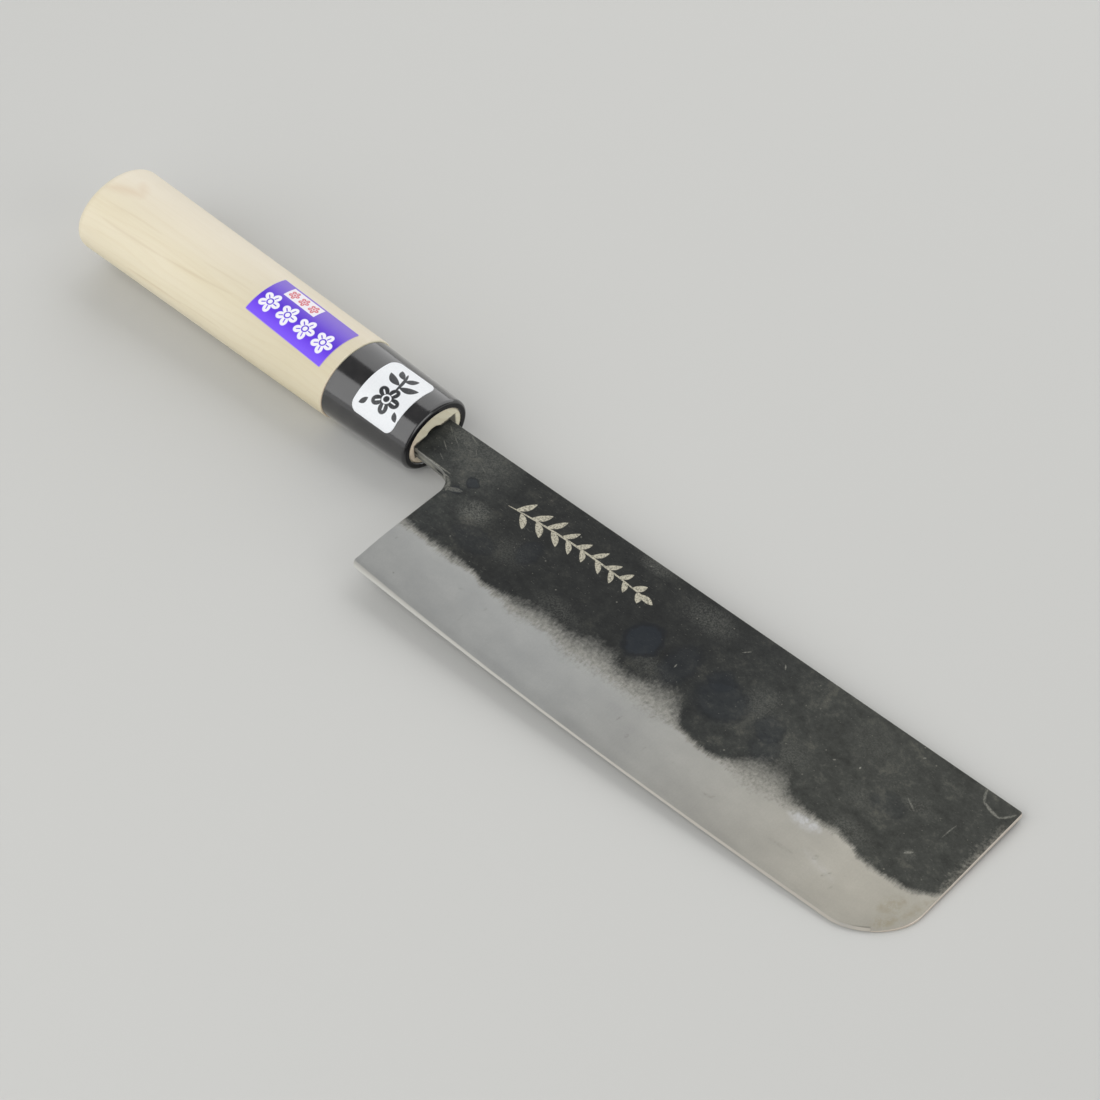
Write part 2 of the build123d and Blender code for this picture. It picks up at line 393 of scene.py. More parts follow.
def setBump(tree, surface, height, strength):
    # heights are in millimetres
    bump = addNode(tree, "Bump", {"Strength": strength, "Distance": 0.001, "Height": height})
    tree.links.new(bump.outputs[0], surface.inputs["Normal"])


def spot(tree, place, centre, size, soft):
    # A soft-edged oval, 1 inside, and how far out a point lies in it. It has no Mapping node,
    # because turning one kind of vector into another takes up Cycles' memory each time
    moved = fromPoint(tree, place, (*centre, 0.0))
    x = dot(tree, moved, (2 / size[0], 0.0, 0.0))
    y = dot(tree, moved, (0.0, 2 / size[1], 0.0))
    away = calc(tree, "SQRT", calc(tree, "MULTIPLY_ADD", x, x, times(tree, y, y)))
    return steps(tree, away, 1.0 + soft, 1.0 - soft), away


def strokes(tree, place, rows, fullness, feather):
    # rows hold x, y, direction in degrees, length, width, bow and strength
    top = 0.0
    for x, y, degrees, length, width, bow, strength in rows:
        values = {
            "Vector": place, "X": x, "Y": y, "Angle": math.radians(degrees), "Length": length,
            "Width": width, "Bow": bow, "Fullness": fullness, "Feather": feather,
        }
        mask = useGroup(tree, leafStroke, values)["Mask"]
        top = calc(tree, "MAXIMUM", top, mask if strength == 1 else times(tree, mask, strength))
    return top


blade = {
    "length": 165.0,
    # where the forge skin begins, and below it where the bevel is clean, at points along the blade
    "skinEdge": [
        (0, 19.7), (8, 19.2), (17, 19.3), (24.5, 18.8), (29.5, 18.2), (36, 19.0), (42, 19.9),
        (48, 20.7), (54.5, 20.4), (60, 21.9), (66, 22.3), (71, 20.4), (77, 21.6), (84, 23.0),
        (88.5, 21.4), (93.5, 17.6), (99.8, 16.8), (106, 18.4), (110, 21.0), (114.5, 22.8), (118, 23.0),
        (121, 21.2), (125, 19.7), (133, 19.7), (136, 20.5), (140, 19.4), (147, 17.6), (152, 17.9),
        (158, 18.8), (161, 20.0), (165, 23.5),
    ],
    "cleanEdge": [
        (0, 17.2), (8, 17.7), (17, 17.1), (24.5, 17.7), (29.5, 16.6), (36, 16.5), (40, 15.4),
        (50, 16.5), (59, 15.0), (66, 15.8), (76, 16.0), (84, 15.6), (91, 16.4), (99.8, 15.7),
        (106, 16.1), (113, 15.5), (120, 16.4), (127, 17.2), (133, 18.3), (139, 18.6), (147, 16.9),
        (156, 17.4), (161, 19.0), (165, 22.4),
    ],
    "curveLow": 13.0,
    "curveHigh": 25.0,
    # darker ovals of the forge with swaying outlines: centre, size, strength
    "sway": 2.2,
    "ovals": [
        ((69.1, 30.7), (9.4, 10.8), 1.0), ((80.5, 31.0), (8.0, 13.0), 0.4),
        ((91.0, 34.0), (6.6, 6.4), 0.5), ((94.5, 29.6), (14.0, 11.0), 0.5),
        ((108.0, 31.0), (7.6, 7.4), 0.45), ((30.7, 32.0), (6.0, 8.0), 0.4),
        ((110.5, 26.0), (7.0, 8.0), 0.35), ((18.0, 26.0), (13.0, 7.0), 0.3),
        ((141.0, 33.0), (9.0, 6.0), 0.25), ((4.9, 38.9), (3.8, 3.2), 0.8),
        ((3.4, 34.6), (3.4, 2.4), 0.6),
    ],
    # rubbed, lighter places: centre, size, strength
    "rubbed": [
        ((12.0, 32.3), (8.0, 6.0), 0.75), ((-6.5, 48.3), (13.0, 5.0), 0.55),
        ((1.6, 47.0), (17.0, 17.0), 0.36), ((56.5, 49.6), (9.0, 4.0), 0.5),
        ((77.0, 46.0), (14.0, 7.0), 0.4), ((102.0, 35.0), (8.0, 9.0), 0.4),
        ((116.5, 29.0), (8.0, 6.0), 0.45), ((135.5, 30.0), (6.0, 5.0), 0.35),
        ((145.5, 37.0), (8.0, 4.0), 0.4), ((27.0, 29.0), (9.0, 8.0), 0.25),
        ((75.0, 26.0), (10.0, 5.0), 0.3), ((152.4, 25.9), (3.2, 2.2), 0.5),
        ((48.0, 24.0), (13.0, 5.0), 0.3), ((129.0, 44.0), (12.0, 8.0), 0.25),
        ((139.0, 22.0), (10.0, 5.0), 0.5),
    ],
    # light scratches and flecks in the skin
    "scratches": [
        (155.0, 51.6, -62, 5.0, 0.8, -0.5, 0.42), (156.6, 48.0, -14, 5.6, 0.9, -0.35, 0.55),
        (161.2, 46.4, 52, 4.6, 0.7, -0.3, 0.5), (88.8, 43.4, 48, 2.4, 0.32, 0, 0.8),
        (98.6, 47.6, -50, 1.7, 0.4, 0.1, 0.8), (79.9, 29.5, 95, 1.3, 0.35, 0, 0.9),
        (155.4, 34.2, 84, 4.7, 0.32, 0.1, 0.7), (151.6, 25.2, 45, 2.3, 0.7, 0.1, 0.6),
        (130.2, 36.1, 100, 0.9, 0.5, 0, 0.95), (124.0, 34.2, 30, 0.8, 0.45, 0, 0.8),
        (139.0, 48.1, 50, 0.8, 0.45, 0, 0.7), (143.2, 37.4, -30, 3.8, 0.5, 0, 0.5),
        (0.9, 33.3, 25, 4.6, 1.5, 0, 0.3), (-10.4, 44.2, -32, 3.4, 0.28, 0, 0.7),
        (-8.2, 40.6, -26, 2.6, 0.24, 0, 0.6), (-12.6, 48.9, -36, 2.8, 0.3, 0, 0.55),
        (-4.0, 45.8, 12, 2.2, 0.26, 0, 0.5), (-9.6, 47.2, -30, 4.2, 0.3, 0, 0.45),
        (-6.2, 49.9, -20, 3.6, 0.3, 0, 0.45), (-2.4, 47.6, -42, 2.8, 0.28, 0, 0.4),
        (2.2, 44.6, -25, 3.2, 0.28, 0, 0.35),
    ],
    # painted highlights: light lines along the underside of the neck, where its rough ridge catches the
    # light
    "neckHighlights": [
        (-13.9, 37.2, 0.3, 12.8, 0.6, 0.05, 0.7), (-10.0, 36.4, -0.8, 9.4, 0.6, 0.1, 0.75),
        (-1.2, 36.0, -50, 4.4, 1.1, 0.6, 0.3),
    ],
    # short dark nicks and greenish clouds in the bevel
    "nicks": [
        (79.9, 9.5, 80, 1.9, 0.5, 0, 0.7), (84.6, 7.2, 85, 1.4, 1.0, 0, 0.4),
        (89.9, 7.4, 80, 1.3, 0.5, 0, 0.55), (85.3, 15.2, 55, 1.4, 0.55, 0, 0.75),
        (88.4, 16.1, 40, 1.7, 0.9, 0, 0.6), (3.2, 13.6, 80, 0.9, 0.55, 0, 0.5),
        (9.9, 6.1, 0, 0.6, 0.55, 0, 0.8), (25.4, 12.9, 15, 2.0, 0.8, 0, 0.3),
        (34.8, 11.9, 90, 1.3, 1.0, 0, 0.3), (32.2, 5.8, 98, 2.5, 0.6, 0, 0.28),
        (137.6, 10.5, 70, 2.0, 1.3, 0, 0.4), (141.8, 8.4, 60, 2.8, 1.1, 0, 0.45),
        (145.0, 6.7, 70, 1.8, 0.7, 0, 0.3), (126.8, 8.4, 4, 7.0, 1.2, 0, 0.22),
        (97.4, 8.6, 80, 1.3, 0.5, 0, 0.35), (107.6, 7.7, 8, 3.4, 0.9, 0, 0.3),
        (110.0, 8.2, 40, 1.2, 0.6, 0, 0.3),
    ],
    "rust": [
        (156.4, 9.6, 62, 8.0, 5.0, 0, 0.42), (157.4, 5.8, 52, 7.0, 4.0, 0, 0.5),
        (161.9, 10.6, 76, 10.0, 3.0, 0.2, 0.42),
    ],
    "paleSmear": [(125.4, 16.6, 4, 9.6, 4.4, 0.2, 0.7), (134.5, 11.4, -12, 11.0, 2.0, 0, 0.3)],
    # leafy sprig etched near the spine
    "sprigFrom": (16.6, 39.5),
    "sprigLength": 43.4,
    "sprigAngle": 0.02,
    "sprigBow": 1.2,
    "leafPairs": 9,
    "leafLength": 5.6,
    "leafWidth": 1.8,
    # ramps: where each begins and ends, and its values there
    "skinTone": (75.0, 125.0, 0.6, 1.5),
    "skinToneHeel": (22.0, 0.0, 0.0, 0.65),
    "oliveAlong": (85.0, 130.0, 0.0, 0.14),
    # where the painted highlights beside the heel and along the spine run
    "heelLineTop": (36.0, 34.0),
    "spineLine": (50.15, 50.4),
    "endWearAlong": (166.8, 171.0),
    "endWearAcross": (47.0, 44.0, 0.0, 0.7),
    "bevelMiddle": ((35.0, 85.0), (152.0, 120.0)),
    "bevelTone": (148.0, 162.0, 1.0, 0.88),
    "bevelWarmth": (50.0, 165.0),
    # the painted highlight line beside the heel, and how far the wear at the end strays
    "heelLineAt": 0.55,
    "endWearStray": 9.0,
    "rubbedTint": tint(106, 107, 101),
    "oliveTint": tint(70, 67, 50),
    "ovalTint": tint(22, 30, 39),
    "ovalRimTint": tint(8, 11, 15),
    "scratchAndHighlightTint": tint(156, 155, 145),
    "cornerWearAndHighlightTint": tint(130, 129, 121),
    "endWearTint": tint(148, 145, 135),
    "sandTones": [(0.32, tint(104, 104, 97)), (0.46, tint(132, 131, 123)), (0.64, tint(154, 152, 144))],
    "nickTint": tint(112, 112, 101),
    "rustTint": tint(134, 124, 92),
    "smearTint": tint(206, 208, 211),
    "sprigTint": tint(186, 181, 163),
    "sideTint": tint(150, 150, 145),
    # the painted highlight on the end face of the blade
    "endHighlightTint": tint(212, 202, 190),
}


def curveAlong(tree, along, points):
    # a height that follows the given points along the blade
    made = tree.nodes.new("ShaderNodeFloatCurve")
    curve = made.mapping.curves[0]
    low, high = blade["curveLow"], blade["curveHigh"]
    scaled = [(x / blade["length"], (y - low) / (high - low)) for x, y in points]
    curve.points[0].location = scaled[0]
    curve.points[1].location = scaled[-1]
    for place in scaled[1:-1]:
        curve.points.new(*place)
    made.mapping.update()
    feed(tree, calc(tree, "DIVIDE", along, blade["length"]), made.inputs["Value"])
    return plus(tree, times(tree, made.outputs[0], high - low), low)


def bevelSteel(tree, place, along):
    # the ground steel is warmer towards the tip, and a little darker in the middle and at the tip
    rise, fall = blade["bevelMiddle"]
    middle = times(tree, steps(tree, along, *rise), steps(tree, along, *fall))
    tone = minus(tree, steps(tree, along, *blade["bevelTone"]), times(tree, middle, 0.07))
    warmth = steps(tree, along, *blade["bevelWarmth"])
    return useGroup(tree, groundSteel, {"Vector": place, "Tone": tone, "Warmth": warmth})


def sprigMask(tree, place):
    startX, startY = blade["sprigFrom"]
    length, angle, bow = blade["sprigLength"], blade["sprigAngle"], blade["sprigBow"]
    stem = strokes(
        tree, place, [(startX, startY, math.degrees(angle), length, 0.6, bow, 1)], fullness=0.3, feather=0.12
    )
    rows = []
    chance = random.Random(5)
    for pair in range(blade["leafPairs"]):
        share = (pair + 0.5) / (blade["leafPairs"] + 0.2)
        x = startX + share * length
        y = startY + angle * share * length + 4 * bow * share * (1 - share)
        size = blade["leafLength"] * (1 - 0.3 * share) * chance.uniform(0.86, 1.08)
        slope = math.degrees(angle + 4 * bow * (1 - 2 * share) / length)
        width = blade["leafWidth"] * chance.uniform(0.8, 1.1)
        rows.append((x, y, slope + chance.uniform(42, 54), size, width, -0.4, 1))
        rows.append((x + 1.7, y, slope - chance.uniform(40, 52), size * 0.94, width, 0.4, 1))
    rows.append((startX + length - 0.6, startY + angle * length, math.degrees(angle) - 7, 4.4, 1.8, 0.1, 1))
    return topOf(tree, [stem, strokes(tree, place, rows, fullness=0.75, feather=0.12)])


def swayedSpot(tree, swayed, centre, size, soft):
    # the sway moves the pattern by half its reach on average, and the middle follows
    middle = [c + blade["sway"] / 2 for c in centre]
    return spot(tree, swayed, middle, size, soft)


def buildForgedIron():
    made, tree, surface = newMaterial("forgedIron", **{"Specular IOR Level": 0.25})
    place, facing = knifePlace(tree)
    along, across, out = parts(tree, place)
    facingAlong, _, facingOut = parts(tree, facing)
    onRight = calc(tree, "GREATER_THAN", out, 0.0)

    # the skin thins out downwards through a mottled band into the clean bevel
    skinEdge = curveAlong(tree, along, blade["skinEdge"])
    cleanEdge = curveAlong(tree, along, blade["cleanEdge"])
    hairs = noise(tree, stretch(tree, place, (3.2, 0.4, 0.6), (0, 0, 0.2)), 1.0, 3.0, 0.65)
    lobes = noise(tree, stretch(tree, place, (0.5, 0.4, 0.4)), 1.0, 2.0, 0.5)
    mottle = noise(tree, stretch(tree, place, (1.1, 1.0, 1.1)), 1.0, 5.0, 0.7)
    wobble = times(tree, minus(tree, hairs, 0.5), 2.0)
    wobble = plus(tree, wobble, times(tree, minus(tree, lobes, 0.5), 1.6))
    height = minus(tree, plus(tree, across, wobble), cleanEdge)
    band = calc(tree, "MAXIMUM", minus(tree, skinEdge, cleanEdge), 1.3)
    cover = calc(tree, "DIVIDE", height, band)
    cover = plus(tree, cover, times(tree, minus(tree, mottle, 0.5), 1.1))
    skin = steps(tree, cover, 0.15, 1.5)
    sand = steps(tree, cover, -0.25, 0.45)

    ground = bevelSteel(tree, place, along)
    tone = steps(tree, along, *blade["skinTone"])
    tone = plus(tree, tone, steps(tree, along, *blade["skinToneHeel"]))
    scale = useGroup(tree, forgeSkin, {"Vector": place, "Tone": tone})

    # rubbed and darker places in the skin
    sway = addNode(tree, "TexNoise", {"Vector": place, "Scale": 0.45, "Detail": 2.0}).outputs["Color"]
    reach = (blade["sway"], blade["sway"], 0.0)
    swayed = addNode(tree, "VectorMath", {0: sway, 1: reach, 2: place}, operation="MULTIPLY_ADD").outputs[0]
    wearGrit = steps(tree, noise(tree, place, 2.2, 5.0, 0.8), 0.42, 0.62, 0.1, 1.0)
    rubs = 0.0
    for centre, size, strength in blade["rubbed"]:
        mask, _ = swayedSpot(tree, swayed, centre, size, 0.7)
        rubs = calc(tree, "MAXIMUM", rubs, times(tree, mask, strength))
    skinColor = mixColor(tree, times(tree, rubs, wearGrit), scale["Color"], blade["rubbedTint"])
    olive = steps(tree, along, *blade["oliveAlong"])
    skinColor = mixColor(tree, olive, skinColor, blade["oliveTint"])
    for centre, size, strength in blade["ovals"]:
        mask, away = swayedSpot(tree, swayed, centre, size, 0.2 if strength == 1 else 0.3)
        rim = times(tree, steps(tree, away, 0.74, 0.93), steps(tree, away, 1.12, 1.0))
        skinColor = mixColor(tree, times(tree, mask, 0.72 * strength), skinColor, blade["ovalTint"])
        skinColor = mixColor(tree, times(tree, rim, 0.6 * strength), skinColor, blade["ovalRimTint"])
    broken = steps(tree, noise(tree, place, 2.4, 3.0, 0.7), 0.36, 0.6, 0.3, 1.0)
    scratched = strokes(tree, place, blade["scratches"], 0.5, 0.3)
    neckHighlights = strokes(tree, place, blade["neckHighlights"], 0.3, 0.3)
    # light scratches in the skin, together with the painted highlights along the neck
    light = times(tree, topOf(tree, [scratched, neckHighlights]), times(tree, broken, onRight))
    skinColor = mixColor(tree, light, skinColor, blade["scratchAndHighlightTint"])

    # painted highlights along the rounded edges at the heel and the spine, which are also worn bare, and
    # patches worn off beside the end of the blade
    heelLine = steps(tree, calc(tree, "ABSOLUTE", minus(tree, along, blade["heelLineAt"])), 0.4, 0.15)
    heelLine = times(tree, heelLine, steps(tree, across, *blade["heelLineTop"]))
    belowSpine = calc(tree, "MULTIPLY_ADD", along, -1 / blade["length"], across)
    spineLine = steps(tree, belowSpine, *blade["spineLine"])
    cornerWearAndHighlight = times(tree, topOf(tree, [heelLine, spineLine]), wearGrit)
    skinColor = mixColor(tree, times(tree, cornerWearAndHighlight, 0.5), skinColor, blade["cornerWearAndHighlightTint"])
    endWear = calc(tree, "MULTIPLY_ADD", mottle, blade["endWearStray"], along)
    endWear = steps(tree, endWear, *blade["endWearAlong"])
    endWear = times(tree, endWear, steps(tree, across, *blade["endWearAcross"]))
    skinColor = mixColor(tree, endWear, skinColor, blade["endWearTint"])

    # sand-like half-removed skin
    sandGrit = noise(tree, place, 1.1, 5.0, 0.7)
    sandColor = colorRamp(tree, sandGrit, blade["sandTones"])
    groundColor = ground["Color"]

    # nicks, stains and a smear in the bevel
    cloud = steps(tree, noise(tree, place, 1.3, 4.0, 0.7), 0.36, 0.6, 0.1, 1.0)
    nicks = times(tree, strokes(tree, place, blade["nicks"], 0.6, 0.5), times(tree, cloud, onRight))
    groundColor = mixColor(tree, nicks, groundColor, blade["nickTint"])
    smudge = times(tree, steps(tree, noise(tree, place, 0.6, 4.0, 0.7), 0.3, 0.68, 0.1, 1.0), onRight)
    rust = times(tree, strokes(tree, place, blade["rust"], 0.6, 1.8), smudge)
    groundColor = mixColor(tree, rust, groundColor, blade["rustTint"])
    smear = times(tree, strokes(tree, place, blade["paleSmear"], 0.6, 1.8), smudge)
    groundColor = mixColor(tree, smear, groundColor, blade["smearTint"])
    color = mixColor(tree, times(tree, sand, 0.8), groundColor, sandColor)
    color = mixColor(tree, skin, color, skinColor)

    # etched sprig
    worn = steps(tree, noise(tree, place, 2.2, 3.0, 0.7), 0.36, 0.56, 0.35, 1.0)
    sprig = times(tree, times(tree, sprigMask(tree, place), worn), onRight)
    color = mixColor(tree, sprig, color, blade["sprigTint"])

    # the narrow faces along the spine and the heel are ground
    side = steps(tree, calc(tree, "ABSOLUTE", facingOut), 0.93, 0.6, 0.0, 0.8)
    color = mixColor(tree, side, color, blade["sideTint"])
    # painted highlight: the end face of the blade is lighter and less metallic
    end = steps(tree, facingAlong, 0.4, 0.75)
    color = mixColor(tree, end, color, blade["endHighlightTint"])

    bare = without(tree, minus(tree, 1.0, skin), times(tree, sand, 0.6))
    metal = calc(tree, "MAXIMUM", without(tree, bare, rust), side)
    metal = without(tree, metal, times(tree, end, 0.5))
    rough = mixValue(tree, skin, ground["Roughness"], scale["Roughness"])
    rough = mixValue(tree, sprig, rough, 0.55)
    rise = mixValue(tree, skin, ground["Height"], scale["Height"])
    rise = plus(tree, rise, times(tree, skin, 0.02))
    rise = plus(tree, rise, times(tree, times(tree, sand, sandGrit), 0.02))

    feed(tree, color, surface.inputs["Base Color"])
    feed(tree, metal, surface.inputs["Metallic"])
    feed(tree, rough, surface.inputs["Roughness"])
    setBump(tree, surface, rise, 0.7)
    return made


core = {
    # the belly of the edge: its lowest point, from the heel, and its radius
    "bellyFromHeel": 77.0,
    "bellyRadius": 2250.0,
    # ramps: where each begins and ends, and its values there
    "stripAlong": (0.0, 60.0, 1.2, 0.45),
    "shadeAbove": (3.6, 1.4),
    "fadeAbove": (0.1, 1.3),
    "fadeAlong": (157.0, 152.0),
    "brightAlong": (0.0, 150.0),
    # the painted shade above the honed strip, and its painted highlight at the heel, at the tip and where it
    # fades
    "shadeTint": tint(128, 128, 124),
    "honedHighlightHeelTint": tint(216, 215, 208),
    "honedHighlightTipTint": tint(198, 192, 181),
    "honedHighlightFadeTint": tint(182, 180, 174),
}


def buildCoreSteel():
    made, tree, surface = newMaterial("coreSteel", **{"Specular IOR Level": 0.25})
    place, facing = knifePlace(tree)
    along, across, _ = parts(tree, place)
    facingAlong, _, facingOut = parts(tree, facing)
    ground = bevelSteel(tree, place, along)
    scale = useGroup(tree, forgeSkin, {"Vector": place, "Tone": 1.0})
    color = ground["Color"]

    # honed strip along the edge, widest at the heel, with its colour lightened into a painted highlight
    fromBelly = minus(tree, along, core["bellyFromHeel"])
    edgeLine = calc(tree, "DIVIDE", times(tree, fromBelly, fromBelly), 2 * core["bellyRadius"])
    aboveEdge = minus(tree, across, edgeLine)
    strip = steps(tree, along, *core["stripAlong"])
    honed = steps(tree, minus(tree, aboveEdge, strip), 0.14, -0.14)
    # the steep faces near the edge get the same painted highlight
    steep = steps(tree, calc(tree, "ABSOLUTE", facingOut), 0.994, 0.988)
    honed = calc(tree, "MAXIMUM", honed, times(tree, steep, steps(tree, across, 9.0, 7.0)))
    # painted shade: a faint darker band just above the honed strip
    shade = times(tree, steps(tree, aboveEdge, *core["shadeAbove"]), 0.06)
    color = mixColor(tree, shade, color, core["shadeTint"])
    fade = steps(tree, aboveEdge, *core["fadeAbove"])
    fade = times(tree, fade, steps(tree, along, *core["fadeAlong"]))
    bright = steps(tree, along, *core["brightAlong"])
    bright = mixColor(tree, bright, core["honedHighlightHeelTint"], core["honedHighlightTipTint"])
    color = mixColor(tree, honed, color, mixColor(tree, fade, bright, core["honedHighlightFadeTint"]))

    # the tang keeps its fire skin, and the end face of the layer gets a painted highlight, lighter and less
    # metallic
    tang = steps(tree, along, -0.5, -3.0)
    color = mixColor(tree, tang, color, scale["Color"])
    # painted highlights along the underside of the neck
    neckHighlights = times(tree, strokes(tree, place, blade["neckHighlights"], 0.2, 0.15), tang)
    color = mixColor(tree, neckHighlights, color, blade["scratchAndHighlightTint"])
    end = steps(tree, facingAlong, 0.4, 0.75)
    color = mixColor(tree, end, color, blade["endHighlightTint"])
    metal = without(tree, minus(tree, 1.0, tang), times(tree, end, 0.5))
    metal = mixValue(tree, honed, metal, 0.4)
    rough = mixValue(tree, tang, ground["Roughness"], scale["Roughness"])
    rough = mixValue(tree, honed, rough, 0.28)
    feed(tree, color, surface.inputs["Base Color"])
    feed(tree, metal, surface.inputs["Metallic"])
    feed(tree, rough, surface.inputs["Roughness"])
    setBump(tree, surface, mixValue(tree, tang, ground["Height"], scale["Height"]), 0.6)
    return made


handle = {
    "spineSide": tint(226, 217, 198),
    "edgeSide": tint(226, 216, 189),
    "fibre": tint(211, 199, 170),
    "growth": tint(203, 180, 142),
    "light": tint(233, 225, 208),
    "foreSide": tint(237, 236, 229),
    "char": tint(34, 30, 24),
    "buttGrain": tint(233, 222, 198),
    "endGrain": tint(238, 232, 206),
    "endRing": tint(222, 211, 180),
    "endPink": tint(240, 214, 194),
    # soft brown marks near the butt
    "knots": [(-137.6, 43.2, 19, 13.0, 3.8, 0.9, 0.5), (-131.8, 52.0, -46, 8.4, 4.4, 0.3, 0.34)],
    # thin grain streaks
    "streaks": [
        (-131.4, 36.5, 1.5, 24.5, 0.9, -0.15, 0.2), (-108.5, 37.1, 4.5, 26.5, 0.9, -0.2, 0.22),
        (-134.0, 40.5, 2.5, 22.0, 0.6, 0.3, 0.16), (-96.0, 41.8, 3.0, 20.0, 0.7, 0.2, 0.14),
    ],
    "lowStreaks": [(-118.0, 1.0, 1.6, 22.0, 0.7, 0.1, 0.3), (-98.0, 1.9, 2.0, 17.0, 0.6, 0.1, 0.24)],
    "streakTint": tint(176, 148, 108),
    "knotTint": tint(212, 190, 162),
    # the lower and upper end of the burned slot, and how softly the burn ends there
    "slotHeights": (37.0, 52.5),
    "slotSoft": 0.7,
    # ramps: where each begins and ends, and its values there
    "sideAcross": (36.0, 53.0),
    "linesAcross": (47.0, 38.0, 0.02, 0.08),
    "foreAlong": (-115.0, -50.0, 0.0, 0.85),
    "foreAcross": (54.0, 46.0, 0.1, 1.0),
    "grainAlong": (-80.0, -60.0),
    "pinkAcross": (41.0, 36.5, 0.0, 0.6),
    "slotAlong": (-20.0, -16.5),
}


def buildPaleWood():
    made, tree, surface = newMaterial("paleWood")
    place, facing = knifePlace(tree)
    along, across, out = parts(tree, place)
    facingAlong, _, _ = parts(tree, facing)

    drift = noise(tree, stretch(tree, place, (0.02, 0.09, 0.09)), 1.0, 2.0, 0.5)
    fibres = noise(tree, stretch(tree, place, (0.09, 3.4, 3.4), (0, 0, 0.012)), 1.0, 4.0, 0.65)
    wide = noise(tree, stretch(tree, place, (0.018, 0.55, 0.55), (0, 0, 0.02)), 1.0, 3.0, 0.55)
    pores = noise(tree, stretch(tree, place, (0.42, 7.0, 7.0)), 1.0, 2.0, 0.6)

    height = steps(tree, across, *handle["sideAcross"])
    color = mixColor(tree, height, handle["edgeSide"], handle["spineSide"])
    color = mixColor(tree, steps(tree, fibres, 0.45, 0.8, 0.0, 0.2), color, handle["fibre"])
    color = mixColor(tree, steps(tree, wide, 0.5, 0.75, 0.0, 0.12), color, handle["growth"])
    color = mixColor(tree, steps(tree, drift, 0.35, 0.65, 0.0, 0.3), color, handle["light"])
    color = mixColor(tree, steps(tree, pores, 0.62, 0.74, 0.0, 0.08), color, handle["growth"])

    # growth lines: slices through wide rings that rise slowly along the handle
    warp = noise(tree, stretch(tree, place, (0.02, 0.12, 0.12)), 1.0, 2.0, 0.5)
    level = weighted(tree, (across, 0.26), (out, 0.4), (along, -0.012), (warp, 3.4))
    saw = calc(tree, "FRACT", level)
    lines = times(tree, steps(tree, saw, 0.5, 0.93), steps(tree, saw, 1.0, 0.94))
    lower = steps(tree, across, *handle["linesAcross"])
    color = mixColor(tree, times(tree, lines, lower), color, handle["growth"])

    # marks that this piece of wood has, on the right side and under it
    onRight = calc(tree, "GREATER_THAN", out, 0.0)
    under = point(tree, along, out)
    onLow = calc(tree, "LESS_THAN", across, 38.0)
    marks = topOf(
        tree,
        [
            times(tree, strokes(tree, place, handle["streaks"], 0.4, 0.55), onRight),
            times(tree, strokes(tree, under, handle["lowStreaks"], 0.4, 0.5), onLow),
        ],
    )
    color = mixColor(tree, marks, color, handle["streakTint"])
    knots = times(tree, strokes(tree, place, handle["knots"], 0.6, 2.4), onRight)
    color = mixColor(tree, knots, color, handle["knotTint"])
    # darker towards the front of the handle, most on the side towards the edge
    fore = steps(tree, along, *handle["foreAlong"])
    fore = times(tree, fore, steps(tree, across, *handle["foreAcross"]))
    color = mixColor(tree, fore, color, handle["foreSide"], "MULTIPLY")

    # end grain on the butt and on the end of the tenon
    end = steps(tree, calc(tree, "ABSOLUTE", facingAlong), 0.55, 0.9)
    endColor = steps(tree, along, *handle["grainAlong"])
    endColor = mixColor(tree, endColor, handle["buttGrain"], handle["endGrain"])
    endColor = mixColor(tree, steps(tree, saw, 0.3, 0.95, 0.0, 0.4), endColor, handle["endRing"])
    pink = steps(tree, across, *handle["pinkAcross"])
    endColor = mixColor(tree, pink, endColor, handle["endPink"])
    dots = useGroup(tree, speckle, {"Vector": place, "Size": 0.5, "Share": 0.5, "Radius": 0.35})["Mask"]
    endColor = mixColor(tree, times(tree, dots, 0.14), endColor, handle["growth"])
    color = mixColor(tree, end, color, endColor)

    # burned wood round the slot of the tang, ragged near its mouth
    ragged = noise(tree, place, 0.8, 3.0, 0.6)
    burnEdge = plus(tree, 1.9, times(tree, ragged, 0.9))
    nearSlot = steps(tree, minus(tree, calc(tree, "ABSOLUTE", out), burnEdge), 0.25, -0.2)
    (low, high), soft = handle["slotHeights"], handle["slotSoft"]
    inHeight = times(tree, steps(tree, across, low, low + soft), steps(tree, across, high, high - soft))
    burned = times(tree, times(tree, nearSlot, inHeight), steps(tree, along, *handle["slotAlong"]))
    color = mixColor(tree, times(tree, burned, 0.9), color, handle["char"])

    soil = useGroup(tree, handling, {"Vector": place})
    rough = plus(tree, 0.52, times(tree, fibres, 0.16))
    rough = minus(tree, rough, times(tree, soil["Smudge"], 0.08))
    height = weighted(tree, (fibres, 0.02), (pores, -0.01))
    feed(tree, color, surface.inputs["Base Color"])
    feed(tree, rough, surface.inputs["Roughness"])
    setBump(tree, surface, height, 0.7)
    return made


ferrule = {
    "shader": {"IOR": 1.3, "Coat IOR": 1.66, "Coat Roughness": 0.14},
    "dark": tint(20, 20, 22),
    "lighter": tint(32, 31, 32),
    "dust": tint(120, 118, 112),
}


